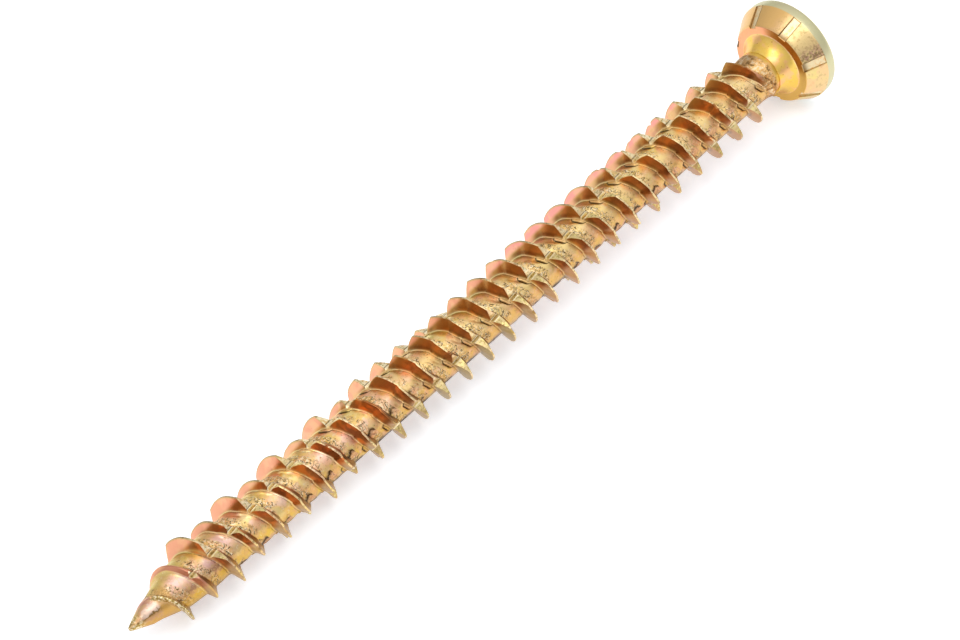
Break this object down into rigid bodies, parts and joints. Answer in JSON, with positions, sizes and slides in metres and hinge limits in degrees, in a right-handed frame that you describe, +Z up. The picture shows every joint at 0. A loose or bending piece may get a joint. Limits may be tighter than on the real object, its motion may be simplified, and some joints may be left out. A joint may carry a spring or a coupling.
{
  "type": "concrete screw",
  "caption": "Long countersunk frame screw with a six-lobed drive recess, a flared neck and a notched two-start thread that starts with one low and one tall ridge behind a short blunt tip.",
  "frame": {"origin": "middle of the box around the screw, on the surface that it lies on", "axes": "+X along the screw's length from the tip towards the head, level; +Z up, away from the surface; the screw's own axis rises 1.34 degrees towards the head"},
  "size_m": [0.1, 0.0114, 0.0115],
  "materials": {
    "zinc": "yellow-chromated zinc plating with pink and green tints, satin"
  },
  "bodies": {
    "root": {"screw": "zinc"}
  },
  "joints": []
}
